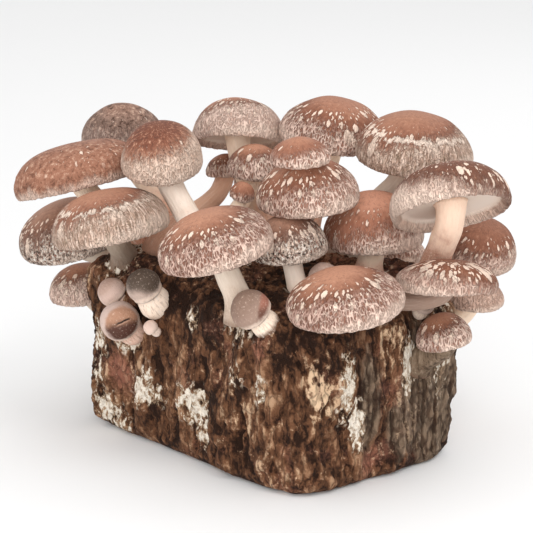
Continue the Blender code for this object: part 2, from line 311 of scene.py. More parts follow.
def buildCap(number, material):
    rim, radius, dome, shape, tilt = mushrooms[number][:5]
    seed = int(number)
    points, along, rimPoint = capOutline(radius, dome, shape)
    length = along[cap["domeRings"]]
    steps = 2 * max(36, round(radius * cap["stepsPerMm"] / 2))
    bm = turnOutline([(r * mm, h * mm) for r, h in points], steps)
    skin = bm.verts.layers.float_vector.new("skin")
    ray = bm.verts.layers.float_vector.new("ray")
    gill = bm.verts.layers.float_vector.new("gill")
    order = bm.verts.layers.int["order"]
    shift = Vector((seed * 13.7, seed * 5.1, seed * 3.3))
    for vert in bm.verts:
        flat = vert.co.to_2d() / mm
        ring = vert[order]
        way = flat.normalized() if flat.length > 1e-6 else Vector((1, 0))
        angle = Vector((1, 0)).angle_signed(way)
        reach = along[ring] / length
        spread = length * (reach * reach + 0.002) ** ((cap["stretch"] - 1) / 2) * reach
        vert[skin] = (way.x * spread, way.y * spread, reach)
        vert[ray] = (way.x * radius, way.y * radius, along[ring])
        under = smoothStep(ring, rimPoint - 3, rimPoint)
        column = round(angle / tau * steps) % 2
        vert[gill] = (under, column, flat.length / radius)

        wave = cap["rimWave"] * (sin(2 * angle + 1.7 * seed) + 0.7 * sin(3 * angle + 2.9 * seed))
        wave *= max(0.0, flat.length / radius - 0.6) / 0.4
        vert.co.x *= 1 + wave
        vert.co.y *= 1 + wave
        vert.co.z += 0.6 * wave * radius * mm
        out = Vector((way.x, way.y, 0.0)) * min(1.0, reach) + Vector((0, 0, 1)) * max(0.1, 1 - reach)
        place = vert.co / mm + shift
        top = 1 - under
        lumps = cap["lump"] * noise.noise(place / (0.42 * radius + 3)) * top
        edge = smoothStep(reach, 0.45, 0.95) * top
        small, large = (noise.noise(place / spacing) for spacing in cap["pimpleSpacing"])
        pimples = cap["pimple"] * edge * (small + 0.8 * large)
        vert.co += out.normalized() * (lumps + pimples) * mm
        if reach > cap["fringeFrom"] and ring < rimPoint:
            coarse, fine = cap["fringeSpacing"]
            ragged = noise.noise(Vector((way.x, way.y, 0.3)) * radius / coarse + shift)
            ragged += 0.6 * noise.noise(Vector((way.x, way.y, 0.7)) * radius / fine + shift)
            vert.co.z += cap["fringe"] * ragged * smoothStep(reach, cap["fringeFrom"], 1.1) * mm
        if under > 0.9 and column:
            share = flat.length / radius
            blade = smoothStep(share, 0.12, 0.3) * smoothStep(share, 0.82, 0.72)
            vert.co.z += cap["gillDepth"] * blade * mm
    bmesh.ops.scale(bm, vec=(cap["shrink"],) * 3, verts=bm.verts[:])
    bmesh.ops.transform(bm, matrix=Matrix.Translation(Vector(rim) * mm) @ tiltOf(tilt).to_4x4(),
                        verts=bm.verts[:])
    finishPiece("capSkin" + number, bm, material, "cap_" + number)


# How the caps look. Distances down the skin run from 0 at the top to 1 at the rim.
capDefaults = {
    "heart": (0.47, 0.225, 0.140),
    "ring": (0.215, 0.082, 0.047),
    "ringFrom": 0.15,
    "deep": (0.10, 0.042, 0.028),      # dark and light mottling
    "light": (0.60, 0.34, 0.225),
    "mottle": 0.35,
    "margin": (0.70, 0.485, 0.405),
    "marginFrom": 0.66,
    "pit": (0.35, 0.175, 0.125),       # between the pale ridges of the margin
    "net": 1.0,
    "fleckFrom": 0.28,
    "fleckSize": 1.0,
    "olive": 0.15,
    "streaks": 0.35,
    "wool": 0.0,
    "tear": 0.0,
    "side": 0.0045,                    # the rim is paler on one side, per millimetre
    "even": 0.0,                       # 1 where the mottling is not drawn out towards the rim
    "gills": (0.84, 0.725, 0.635),
}
capLooks = {
    "flecked": {"margin": (0.54, 0.335, 0.272), "pit": (0.26, 0.122, 0.085)},
    "ringed": {"marginFrom": 0.74, "margin": (0.72, 0.49, 0.405)},
    "darkFlecked": {"side": -0.004, "marginFrom": 0.76, "ringFrom": 0.25, "heart": (0.37, 0.168, 0.103)},
    "bigFlecks": {"fleckSize": 1.15, "fleckFrom": 0.12, "heart": (0.22, 0.088, 0.052), "marginFrom": 0.78,
                  "side": -0.006, "net": 0.6, "gills": (0.40, 0.28, 0.21), "margin": (0.56, 0.37, 0.30)},
    "brown": {"marginFrom": 0.84, "fleckSize": 0.8, "heart": (0.54, 0.255, 0.165), "ringFrom": 0.35,
              "ring": (0.35, 0.145, 0.088)},
    "darkBrown": {"marginFrom": 0.76, "fleckSize": 0.7, "heart": (0.27, 0.112, 0.066), "ringFrom": 0.3,
                  "olive": 0.5, "net": 0.7},
    "smooth": {"fleckSize": 0.5, "marginFrom": 0.78, "heart": (0.42, 0.19, 0.115),
               "ring": (0.29, 0.12, 0.073)},
    "pink": {"fleckSize": 0.0, "marginFrom": 0.6, "net": 0.2, "ring": (0.44, 0.205, 0.135),
             "heart": (0.52, 0.27, 0.18), "mottle": 0.15, "margin": (0.56, 0.37, 0.29)},
    "coarse": {"fleckSize": 0.45, "net": 0.0, "marginFrom": 1.05, "mottle": 1.0,
               "heart": (0.33, 0.155, 0.101), "ring": (0.315, 0.145, 0.092), "deep": (0.160, 0.068, 0.042),
               "light": (0.56, 0.345, 0.245), "streaks": 0.2, "side": 0.0, "even": 1.0},
    "greyDome": {"heart": (0.27, 0.145, 0.10), "ring": (0.24, 0.150, 0.115), "fleckSize": 0.4, "mottle": 1.0,
                 "deep": (0.072, 0.036, 0.024), "light": (0.54, 0.36, 0.27), "marginFrom": 0.7,
                 "margin": (0.33, 0.225, 0.185), "net": 0.15, "side": -0.004, "even": 1.0},
    "darkHeart": {"heart": (0.18, 0.060, 0.034), "ring": (0.33, 0.140, 0.083), "ringFrom": 0.3,
                  "marginFrom": 0.60, "fleckSize": 0.5, "margin": (0.90, 0.70, 0.57),
                  "pit": (0.58, 0.37, 0.27), "net": 0.6, "olive": 0.30, "mottle": 0.85},
    "torn": {"tear": 0.62, "marginFrom": 0.64, "olive": 0.70, "margin": (0.50, 0.345, 0.265), "net": 0.25,
             "streaks": 0.75, "fleckSize": 1.1, "fleckFrom": 0.35, "ring": (0.30, 0.125, 0.076),
             "heart": (0.44, 0.21, 0.13)},
    "woolly": {"marginFrom": 0.66, "wool": 1.0, "margin": (0.50, 0.37, 0.30), "heart": (0.40, 0.215, 0.145),
               "ring": (0.17, 0.075, 0.048)},
    "netted": {"marginFrom": 0.62, "fleckSize": 0.8, "fleckFrom": 0.2},
    "paleSide": {"marginFrom": 0.55, "fleckSize": 0.9, "fleckFrom": 0.2, "margin": (0.80, 0.59, 0.50),
                 "pit": (0.54, 0.345, 0.27), "net": 0.75},
    "creamRim": {"marginFrom": 0.84, "margin": (0.78, 0.58, 0.48), "fleckSize": 0.82, "fleckFrom": 0.15,
                 "net": 0.45, "side": -0.006, "olive": 0.35, "heart": (0.21, 0.084, 0.051),
                 "ring": (0.16, 0.062, 0.037)},
}
capLooks["tornFar"] = {**capLooks["torn"], "tear": 0.64, "marginFrom": 0.66, "olive": 0.75,
                       "ring": (0.27, 0.112, 0.068), "heart": (0.37, 0.172, 0.105)}
capTones = {
    "cream": (0.88, 0.70, 0.58),
    "fleck": (0.88, 0.68, 0.55),
    "olive": (0.19, 0.14, 0.085),
    "woolDark": (0.035, 0.026, 0.020),
    "woolPale": (0.80, 0.74, 0.66),
    "gillGapShade": (0.60, 0.49, 0.40),
    "gillsByStem": (0.70, 0.56, 0.45),
}
# layers of flecks: cells for each millimetre, size in cells, share of cells left bare, zone's lower end
fleckLayers = ((0.13, 0.42, 0.50, 0.88), (0.25, 0.44, 0.42, 0.92), (0.50, 0.42, 0.36, 0.88))


def capMaterial(lookName):
    look = {**capDefaults, **capLooks[lookName]}
    paint = Paint("cap_" + lookName, 0.72)
    skin = paint.attribute("skin")
    skinX, skinY, reach = paint.split(skin)
    ray = paint.attribute("ray")
    under, column, share = paint.split(paint.attribute("gill"))
    flat = paint.scaled(skin, (1.0, 1.0, 0.0))

    grain = paint.noise(flat, 1.0, 4.0, 0.7)
    blotch = paint.noise(flat, 0.085, 3.0)
    side = (skinX * 0.77 + skinY * 0.64) * look["side"]
    edge = reach + (grain - 0.5) * 0.10 + (blotch - 0.5) * 0.34 + side

    # a tan top, a darker ring, and mottling over both
    tone = paint.mix(edge.span(look["ringFrom"], 0.62), look["heart"], look["ring"])
    even = paint.place() if look["even"] else flat
    mottle = paint.noise(paint.shaken(even, 0.3, 3.0), 0.34 if look["even"] else 0.36, 5.0, 0.72)
    tone = paint.mix(mottle.span(0.50, 0.36) * look["mottle"], tone, look["deep"])
    tone = paint.mix(mottle.span(0.52, 0.68) * look["mottle"], tone, look["light"])
    tone = paint.mix(grain.span(0.55, 0.78) * 0.30, tone, look["light"])
    tone = paint.mix(grain.span(0.45, 0.25) * 0.30, tone, look["deep"])

    # the woolly margin: a net of pale ridges with brown pits between them
    warped = paint.shaken(flat, 0.55, 1.7)
    borders = paint.cells(warped, 0.52, "DISTANCE_TO_EDGE")
    chance = paint.split(paint.cells(warped, 0.52, output="Color"))[0]
    wrinkles = paint.noise(paint.scaled(ray, (1.0, 1.0, 0.7)), 0.75, 4.0, 0.66)
    level = (0.20 - borders) * 3.4 + (wrinkles - 0.5) * 1.5 + (grain - 0.5) * 0.5 + (chance - 0.5) * 0.5
    pale = level.span(-0.10, 0.42)
    zone = edge.span(look["marginFrom"] - 0.20, look["marginFrom"] + 0.06)
    lower = edge.span(look["marginFrom"] - 0.06, look["marginFrom"] + 0.18)
    # painted shade: the pits of the margin, and the cream on its ridges, are darker on each cap's side away
    # from the key light, the left in view
    dusk = (skinX * -0.60 + skinY * -0.50 + (blotch - 0.5) * 26).span(-4.0, 22.0)
    pit = paint.mix(dusk * 0.6, look["pit"], look["deep"])
    skinTone = paint.mix(lower * (1 - pale) * 0.85, tone, pit)
    skinTone = paint.mix(lower * (1 - look["net"]), skinTone, look["margin"])
    skinTone = paint.mix(pale * zone * look["net"] * (0.30 + 0.65 * lower), skinTone, look["margin"])
    # the cream on the highest ridges is partly the pale wool's own colour and partly painted highlight on
    # their crests
    creamAndHighlight = (0.12 + 0.38 * lower) * (1 - 0.6 * dusk) * look["net"]
    skinTone = paint.mix(level.span(0.36, 0.80) * zone * creamAndHighlight, skinTone, capTones["cream"])

    # fine streaks that run down to the rim
    fine = paint.noise(paint.scaled(ray, (1.0, 1.0, 0.20)), 0.9, 4.0, 0.65)
    skinTone = paint.mix(fine.span(0.50, 0.64) * lower * look["streaks"], skinTone, capTones["cream"])
    skinTone = paint.mix(fine.span(0.49, 0.36) * lower * look["olive"], skinTone, capTones["olive"])
    if look["wool"]:
        wool = paint.noise(paint.shaken(ray, 0.5, 2.5), 0.55, 4.0, 0.72)
        skinTone = paint.mix(wool.span(0.49, 0.40) * lower * look["wool"], skinTone, capTones["woolDark"])
        skinTone = paint.mix(wool.span(0.52, 0.60) * lower * look["wool"], skinTone, capTones["woolPale"])

    # flecks: from large and sparse to small and dense, each with a darker edge
    height = (grain - 0.5) * 0.2 + (mottle - 0.5) * 0.4 * look["mottle"] + level.span(-0.3, 0.6) * zone
    height = height + (fine - 0.5) * lower * 0.35
    torn = paint.shaken(paint.shaken(flat, 0.5, 2.0), 1.5, 1.3)
    for scale, size, bare, lowest in fleckLayers:
        distance = paint.cells(torn, scale)
        luck = paint.split(paint.cells(torn, scale, output="Color"))[1]
        width = reach.span(look["fleckFrom"] - 0.1, look["fleckFrom"] + 0.30) * luck.span(bare, bare + 0.28)
        gap = distance - width * (size * look["fleckSize"]) + 0.05
        zoneHere = 1 - edge.span(lowest - 0.15, lowest + 0.05)
        skinTone = paint.mix(gap.span(0.16, 0.03) * zoneHere * width * 0.35, skinTone, look["deep"])
        fleck = gap.span(0.035, -0.02) * zoneHere
        skinTone = paint.mix(fleck * 0.92, skinTone, capTones["fleck"])
        height = height + fleck * 0.35
    if look["tear"]:
        wander = paint.noise(paint.scaled(ray, (1.0, 1.0, 0.0)), 0.10, 4.0, 0.6)
        off = reach + (wander - 0.5) * 0.24 + (grain - 0.5) * 0.05 - look["tear"]
        broken = paint.noise(flat, 0.20, 3.0, 0.6)
        ragged = off.size() + (mottle - 0.5) * 0.15
        tear = ragged.span(0.048, 0.026) * broken.span(0.44, 0.52)
        skinTone = paint.mix(tear, skinTone, capTones["cream"])
        height = height + tear * 0.6

    # the very rim is pale, and so are the gills
    skinTone = paint.mix(edge.span(0.97, 1.10) * 0.45, skinTone, capTones["cream"])
    # painted shade: every other column of the gills, the sunken gaps between the blades, is darker
    gills = paint.mix(column * 0.22, look["gills"], capTones["gillGapShade"])
    gills = paint.mix(share.span(0.75, 0.3) * 0.2, gills, capTones["gillsByStem"])
    paint.colour(paint.mix(under.span(0.35, 0.8), skinTone, gills))
    paint.roughness(0.62 + 0.25 * edge.span(0.3, 0.9))
    paint.bump(height * (1 - under))
    return paint.material


# Stems

stem = {
    "sides": 30,
    "rings": 44,
    "pullCap": 0.32,           # how long a stem keeps the cap's own direction, as on the solids
    "pullFoot": 0.33,
    "shortNecks": {"13": 0.14, "18": 0.24},
    "waist": 0.10,
    "fibre": 0.20,             # millimetres, as are the next three
    "fibreSpacing": 26,
    "lump": 0.35,
    "lumpSpacing": 9,
    "footFlare": 0.22,
    "footFrom": 0.62,
    "neckFlare": 0.20,
    "neckLength": 3.5,         # millimetres
}
stemLooks = {
    "pale": {"neck": (0.94, 0.79, 0.67), "foot": (0.92, 0.68, 0.53), "fibre": (0.96, 0.85, 0.74)},
    # a grey stem darkened as painted shade, for the stem deep under cap 04
    "dim": {"neck": (0.36, 0.28, 0.215), "foot": (0.24, 0.165, 0.12), "fibre": (0.50, 0.40, 0.32)},
    "rusty": {"neck": (0.95, 0.70, 0.54), "foot": (0.60, 0.31, 0.215), "fibre": (0.95, 0.75, 0.60),
              "footFrom": 0.26, "footTo": 0.58},
    "grey": {"neck": (0.74, 0.62, 0.51), "foot": (0.64, 0.49, 0.38), "fibre": (0.88, 0.76, 0.64)},
    "tan": {"neck": (0.95, 0.74, 0.57), "foot": (0.78, 0.40, 0.27), "fibre": (0.96, 0.80, 0.67)},
    "brown": {"neck": (0.72, 0.44, 0.31), "foot": (0.64, 0.35, 0.24), "fibre": (0.84, 0.60, 0.46)},
    # a stem darkened as painted shade, so the stem under cap 20 passes for shadow
    "dusky": {"neck": (0.34, 0.230, 0.178), "foot": (0.26, 0.172, 0.13), "fibre": (0.52, 0.39, 0.32)},
    "bark": {"neck": (0.20, 0.138, 0.092), "foot": (0.16, 0.108, 0.070), "fibre": (0.42, 0.32, 0.23)},
}


def stemRoute(number):
    rim, radius, _, _, tilt, foot, way, _, _, _ = mushrooms[number]
    axis = tiltOf(tilt) @ Vector((0, 0, 1))
    top = Vector(rim) + axis * cap["gillLevel"] * cap["lipDepth"] * radius
    foot = Vector(foot)
    reach = (top - foot).length
    pull = stem["shortNecks"].get(number, stem["pullCap"])
    out = Vector(way).normalized() * reach * stem["pullFoot"]
    return top + axis, top - axis * reach * pull, foot + out, foot


def bezier(points, share):
    a, b, c, d = points
    rest = 1 - share
    return rest ** 3 * a + 3 * rest ** 2 * share * b + 3 * rest * share ** 2 * c + share ** 3 * d


def buildStem(number, material):
    route = stemRoute(number)
    topRadius, footRadius = mushrooms[number][7]
    seed = int(number) * 7.3
    bm = bmesh.new()
    grain = bm.verts.layers.float_vector.new("grain")
    rise = bm.verts.layers.float.new("rise")
    length = sum((bezier(route, (i + 1) / 20) - bezier(route, i / 20)).length for i in range(20))
    heading = (route[1] - route[0]).normalized()
    turn = Vector((0, 0, 1)).rotation_difference(heading)
    lastLoop = None
    for ring in range(stem["rings"] + 1):
        share = ring / stem["rings"]
        centre = bezier(route, share)
        ahead = bezier(route, min(1.0, share + 0.01)) - bezier(route, max(0.0, share - 0.01))
        newHeading = ahead.normalized()
        turn = heading.rotation_difference(newHeading) @ turn
        heading = newHeading
        radius = topRadius + (footRadius - topRadius) * share
        radius *= 1 - stem["waist"] * sin(pi * share)
        radius *= 1 + stem["neckFlare"] * exp(-share * length / stem["neckLength"])
        radius *= 1 + stem["footFlare"] * smoothStep(share, stem["footFrom"], 0.95)
        isEnd = ring in (0, stem["rings"])
        made = bmesh.ops.create_circle(bm, cap_ends=isEnd, segments=stem["sides"], radius=1.0)
        matrix = Matrix.Translation(centre) @ turn.to_matrix().to_4x4()
        for vert in made["verts"]:
            way = vert.co.normalized()
            across = Vector((way.x * 2.2, way.y * 2.2, share * length / stem["fibreSpacing"] + seed))
            bulge = stem["fibre"] * (noise.noise(across * 1.6) + 0.5 * noise.noise(across * 3.1))
            along = Vector((way.x, way.y, share * length / stem["lumpSpacing"] + seed))
            bulge += stem["lump"] * noise.noise(along)
            vert[grain] = (way.x * radius, way.y * radius, share * length)
            vert[rise] = share
            vert.co = matrix @ (way * (radius + bulge)) * mm
        loop = list(dict.fromkeys(edge for vert in made["verts"] for edge in vert.link_edges
                                  if edge.other_vert(vert) in made["verts"]))
        if lastLoop:
            bmesh.ops.bridge_loops(bm, edges=lastLoop + loop)
        lastLoop = loop
    finishPiece("stemSkin" + number, bm, material, "stem_" + number)


stemTones = {
    "shade": (0.42, 0.22, 0.14),
    "felt": (0.26, 0.12, 0.08),
    "soil": (0.20, 0.11, 0.075),
    "crack": (0.045, 0.026, 0.016),
}


def stemMaterial(lookName):
    look = {"footFrom": 0.40, "footTo": 0.85, **stemLooks[lookName]}
    paint = Paint("stem_" + lookName, 0.78)
    grain = paint.attribute("grain")
    rise = paint.number("rise")
    if lookName == "bark":
        fibres = paint.noise(paint.scaled(paint.place(), (1.0, 1.0, 0.12)), 0.42, 5.0, 0.66)
    else:
        fibres = paint.noise(paint.scaled(grain, (1.0, 1.0, 0.12)), 0.85, 5.0, 0.68)
    patches = paint.noise(grain, 0.10, 3.0)
    felt = paint.noise(grain, 1.1, 4.0, 0.72)
    lower = (rise + (patches - 0.5) * 0.6 + (fibres - 0.5) * 0.35).span(look["footFrom"], look["footTo"])
    rough = 0.25 + 0.75 * lower
    tone = paint.mix(lower, look["neck"], look["foot"])
    tone = paint.mix(patches.span(0.54, 0.70) * 0.20, tone, look["foot"])
    tone = paint.mix(fibres.span(0.50, 0.68) * 0.55, tone, look["fibre"])
    tone = paint.mix(fibres.span(0.46, 0.32) * rough * 0.45, tone, stemTones["shade"])
    tone = paint.mix(felt.span(0.54, 0.70) * lower * 0.6, tone, look["fibre"])
    tone = paint.mix(felt.span(0.46, 0.32) * lower * 0.5, tone, stemTones["felt"])
    tone = paint.mix((rise + (felt - 0.5) * 0.2).span(0.86, 0.98) * 0.6, tone, stemTones["soil"])
    if lookName == "bark":
        tone = paint.mix(fibres.span(0.50, 0.38) * 0.85, tone, stemTones["crack"])
    paint.colour(tone)
    paint.roughness(0.72 + 0.2 * lower)
    paint.bump((fibres - 0.5) * 0.6 + (felt - 0.5) * (0.2 + 0.6 * lower))
    return paint.material


# Closed buttons

# number: centre, radius, stem length and radius in ball radii, the way the top looks, look
buttons = {
    "01": ((66, -66, 97), 10.5, 1.8, 0.72, (-0.16, -0.65, 0.70), "brownBall"),
    "02": ((-18, -70, 93), 9.5, 2.0, 0.95, (-0.07, -0.55, 0.83), "greyBall"),
    "03": ((-37, -72, 70), 11.0, 1.6, 0.72, (0.14, -0.77, 0.62), "disc"),
    "04": ((-52, -66, 82), 8.0, 1.6, 0.75, (-0.30, -0.60, 0.75), "pinkBall"),
    "05": ((-11, -71, 72), 4.0, 1.6, 0.70, (-0.10, -0.75, 0.65), "paleBud"),
    "06": ((98, 23, 91), 5.7, 1.8, 0.75, (0.60, -0.20, 0.70), "greyBall"),
    "07": ((64, -16, 105), 8.0, 1.6, 0.70, (0.20, -0.20, 0.95), "pinkBall"),
    "08": ((-40, 67, 80), 10.0, 1.6, 0.72, (-0.20, 0.75, 0.65), "brownBall"),
}
# where a button's painted face looks, if not the way its top does
buttonFaces = {"01": (0.74, -0.62, 0.25), "02": (0.69, -0.13, 0.72), "03": (0.83, -0.40, 0.38)}
button = {
    "steps": 72,
    "neckShare": 0.80,
    "neckHeight": -0.62,
    "shrink": 0.98,
    "lump": 0.035,             # of the radius
    # down the stem: share of its length, share of its radius
    "bulb": ((0.08, 0.86), (0.20, 0.93), (0.35, 0.98), (0.50, 1.0), (0.62, 0.985), (0.74, 0.94),
             (0.85, 0.87), (0.93, 0.80), (0.98, 0.73), (1.0, 0.60), (1.0, 0.0)),
}
buttonLooks = {
    "greyBall": {
        "top": (0.085, 0.058, 0.042), "side": (0.50, 0.375, 0.315),
        "foot": (0.92, 0.74, 0.60), "from": 0.15,
    },
    "brownBall": {
        "top": (0.25, 0.160, 0.120), "side": (0.34, 0.230, 0.180),
        "foot": (0.94, 0.76, 0.61), "from": 0.1,
    },
    "disc": {
        "top": (0.60, 0.45, 0.39), "side": (0.60, 0.45, 0.39),
        "foot": (0.76, 0.50, 0.39), "from": 0.6,
    },
    "pinkBall": {
        "top": (0.46, 0.31, 0.25), "side": (0.64, 0.47, 0.40),
        "foot": (0.74, 0.53, 0.42), "from": 0.2,
    },
    "paleBud": {
        "top": (0.74, 0.54, 0.45), "side": (0.82, 0.63, 0.53),
        "foot": (0.84, 0.66, 0.55), "from": 0.2,
    },
}


buttonTones = {
    "face": (0.44, 0.24, 0.155),
    "faceDusk": (0.085, 0.035, 0.024),
    "lip": (0.50, 0.31, 0.22),
    "split": (0.025, 0.011, 0.008),
    "redDark": (0.13, 0.052, 0.035),
    "red": (0.36, 0.145, 0.10),
    "bulbEnd": (0.17, 0.095, 0.062),
    "streak": (0.84, 0.73, 0.64),
    "streakDark": (0.36, 0.23, 0.17),
    "felt": (0.09, 0.05, 0.035),
    "creaseShade": (0.07, 0.035, 0.025),
}


def buildButton(number, material):
    centre, radius, stemLength, stemWidth, top, _ = buttons[number]
    seed = Vector((int(number) * 4.1, 2.0, 1.0))
    turn = Vector((0, 0, 1)).rotation_difference(Vector(top)).to_matrix()
    front = Vector(buttonFaces.get(number, top)).normalized()
    right = Vector((0, 0, 1)).cross(front).normalized()
    above = front.cross(right)
    outline = [(sin(radians(a)), cos(radians(a))) for a in range(0, 118, 6)]
    neck, end = stemWidth, -stemLength
    low = button["neckHeight"]
    outline += [(0.86 * neck + 0.10, low + 0.10), (button["neckShare"] * neck, low)]
    for share, width in button["bulb"]:
        outline.append((width * neck, low + share * (end - low)))
    bm = turnOutline([(r * radius * mm, h * radius * mm) for r, h in outline], button["steps"])
    local = bm.verts.layers.float_vector.new("local")
    face = bm.verts.layers.float_vector.new("face")
    for vert in bm.verts:
        place = vert.co / (radius * mm)
        turned = turn @ place
        vert[local] = place
        vert[face] = (right.dot(turned), above.dot(turned), front.dot(turned))
        lumps = noise.noise(place * 1.3 + seed) + 0.4 * noise.noise(place * 3.1 + seed)
        lumps *= button["lump"] * radius * mm
        vert.co += Vector((place.x, place.y, max(0.0, place.z))).normalized() * lumps
    bmesh.ops.scale(bm, vec=(button["shrink"],) * 3, verts=bm.verts[:])
    bmesh.ops.transform(bm, matrix=Matrix.Translation(Vector(centre) * mm) @ turn.to_4x4(), verts=bm.verts[:])
    finishPiece("buttonSkin" + number, bm, material, "button_" + number)


def buttonMaterial(lookName):
    look = buttonLooks[lookName]
    paint = Paint("button_" + lookName, 0.7)
    local = paint.attribute("local")
    height = paint.split(local)[2]
    across, rise, front = paint.split(paint.attribute("face"))
    felt = paint.noise(local, 9.0, 5.0, 0.72)
    patches = paint.noise(local, 1.5, 3.0)
    level = height + (patches - 0.5) * 0.6 + (felt - 0.5) * 0.35
    tone = paint.mix(level.span(look["from"], look["from"] + 0.62), look["side"], look["top"])
    wander = (paint.noise(local, 3.0, 3.0) - 0.5) * 0.3
    if lookName == "greyBall":
        tone = paint.mix((front + wander + (felt - 0.5) * 0.5).span(0.30, 0.80), tone, look["top"])
    if lookName == "disc":
        # a sunken brown face, dark towards its lower edge, with a short split across it
        inside = (front - rise * 0.3 + wander + (felt - 0.5) * 0.2).span(0.44, 0.70)
        dusk = (across * 0.15 - rise * 0.95 + wander + (felt - 0.5) * 0.3).span(-0.12, 0.42)
        tone = paint.mix(inside, tone, paint.mix(dusk, buttonTones["face"], buttonTones["faceDusk"]))
        split = rise - across * 0.35 + 0.13 + wander * 0.6
        ends = across.size().span(0.42, 0.22) * inside
        lip = (split + 0.09).size().span(0.06, 0.02)
        tone = paint.mix(lip * ends * 0.6, tone, buttonTones["lip"])
        tone = paint.mix(split.size().span(0.07, 0.03) * ends, tone, buttonTones["split"])
    if lookName == "brownBall":
        # one side is red-brown, and a cream skin shows below it
        reddish = (across * 0.85 - rise * 0.10 + wander).span(0.26, 0.44)
        red = paint.mix(rise.span(-0.2, 0.4), buttonTones["redDark"], buttonTones["red"])
        tone = paint.mix(reddish * 0.9, tone, red)
        crescent = (across * 0.70 - rise * 0.72 + wander * 0.4).span(0.74, 0.82)
        tone = paint.mix(crescent, tone, capTones["cream"])
    tone = paint.mix(level.span(-0.05, -0.42) * 0.8, tone, capTones["cream"])
    tone = paint.mix(height.span(-0.48, -0.56), tone, look["foot"])
    if lookName == "brownBall":
        tone = paint.mix((height + wander).span(-0.95, -1.30), tone, buttonTones["bulbEnd"])
    streaks = paint.noise(paint.scaled(local, (1.0, 1.0, 0.15)), 8.0, 4.0, 0.65)
    below = height.span(-0.25, -0.6)
    tone = paint.mix(streaks.span(0.5, 0.66) * below * 0.7, tone, buttonTones["streak"])
    tone = paint.mix(streaks.span(0.48, 0.36) * below * 0.5, tone, buttonTones["streakDark"])
    tone = paint.mix(felt.span(0.56, 0.70) * 0.5, tone, capTones["cream"])
    tone = paint.mix(felt.span(0.44, 0.30) * 0.35, tone, buttonTones["felt"])
    # painted shade in the crease under the ball, where it meets its stem
    creaseShade = (height + 0.57) * 12
    tone = paint.mix((1 - creaseShade * creaseShade).clamped() * 0.7, tone, buttonTones["creaseShade"])
    paint.colour(tone)
    paint.roughness(0.6 + 0.25 * level.span(0.6, 0.0))
    paint.bump((felt - 0.5) * 0.5 + (streaks - 0.5) * below * 0.6)
    return paint.material


# The block

block = {
    "size": (190, 124, 100),   # millimetres, as on the solids
    "cuts": (190, 124, 98),
    "cornerRadius": 28,
    "topRadius": 22,
    "footRadius": 9,
    "sideBulge": 1.5,
    "topLumps": 3.0,
    "relief": 3.2,
    "spacing": 16,
    "stretch": 2.6,
    "barkOnTop": 0.5,
    "lumpSpacing": 35,
    "lumpsFrom": 0.8,
    "lumpShift": (7.0, 3.0, 1.0),
    "plates": 1.6,             # how deep the crevices between bark plates go
    "scales": 0.4,             # smaller scales on the plates
    "ridges": 1.7,
    "crumbs": 0.9,
    "knotRings": 0.7,
    "plankWidth": 8.0,
    "grooves": 1.8,
    "grooveWidth": 0.13,       # of a plank's width, to each side
    "plateSpacing": (13, 34),  # across and up
    "scaleSpacing": (5, 12),
    "ridgeSpacing": 6,
    "crumbSpacing": 4,
    "crestOfTan": 1.1,         # how far tan ridges stand out
    "driftShifts": (31.7, 57.3, 83.9),
    "driftSpacing": (13, 5),   # and how far points drift at each
    "driftReach": (5, 1.6),
    "markFade": 0.7,
    "markEdge": 2,             # in reaches of the mark
    "feltStrength": 0.45,      # white felt round the foot of each stem
    "feltReach": 20,
    "feltFade": 160,
}
# marks on the bark, by kind: middle, reach across, reach up and down, strength
barkMarks = {
    "white": (
        ((-30, -65, 31), 11, 6, 1.1), ((-24, -65, 43), 5, 7, 0.5),
        ((12, -63, 33), 10, 8, 1.0), ((18, -63, 20), 5, 8, 0.7),
        ((-69, -61, 52), 6, 9, 0.75), ((-69, -61, 33), 6, 6, 0.6),
        ((66, -60, 54), 4, 7, 0.8), ((-63, -64, 13), 7, 8, 0.9),
        ((-55, -60, 5), 9, 5, 0.8), ((11, -62, 80), 4, 5, 0.65),
        ((-41, -63, 56), 7, 6, 0.7), ((97, -28, 56), 4.5, 13, 1.15),
        ((96, -20, 34), 4, 10, 1.05), ((97, 15, 60), 4.5, 12, 1.1),
        ((96, 40, 60), 5, 20, 0.45), ((49, -64, 59), 5, 6, 0.5),
        ((-94, 10, 30), 8, 12, 0.8), ((-40, 62, 24), 12, 10, 0.9),
        ((30, 63, 40), 8, 14, 0.8), ((-92, -20, 10), 12, 6, 0.7),
    ),
    "tan": (
        ((51, -62, 50), 6, 7, 1.0), ((97, 7, 27), 4, 6, 0.9),
        ((93.5, -43.5, 61), 7, 19, 1.35), ((-62, -64, 55), 34, 46, 0.34),
        ((97, 2, 76), 8, 10, 1.0), ((97, -2, 50), 5, 14, 0.7),
        ((52, -62, 35), 14, 18, 0.5), ((35, -65, 20), 16, 14, 0.5),
        ((68, -62, 14), 14, 12, 0.45), ((60, 60, 50), 14, 18, 0.7),
        ((-70, 60, 60), 10, 16, 0.7), ((-94, 20, 70), 8, 14, 0.6),
    ),
    "red": (
        ((-51, -63, 37), 9, 11, 0.9), ((93, -7, 12), 9, 7, 0.9),
        ((66, -64, 76), 6, 9, 0.8), ((60, 30, 100), 24, 20, 0.7),
        ((10, 40, 100), 22, 20, 0.5), ((20, 62, 70), 12, 10, 0.7),
    ),
    "knot": (
        ((74, -56, 79), 8, 8, 1.0), ((-30, 62, 70), 8, 8, 0.8),
    ),
    "grey": (
        ((95, 35, 36), 26, 44, 1.0), ((97, -12, 46), 8, 30, 0.8),
        ((97, 8, 26), 9, 20, 0.8), ((-94, -5, 60), 20, 36, 0.8),
        ((-10, 62, 50), 20, 36, 0.6),
    ),
    # painted shade: bark darkened in colour only, just under the caps
    "dark": (
        ((26, -60, 90), 40, 19, 1.0), ((-38, -58, 90), 24, 18, 1.0),
        ((80, -50, 88), 22, 12, 0.8),
    ),
}


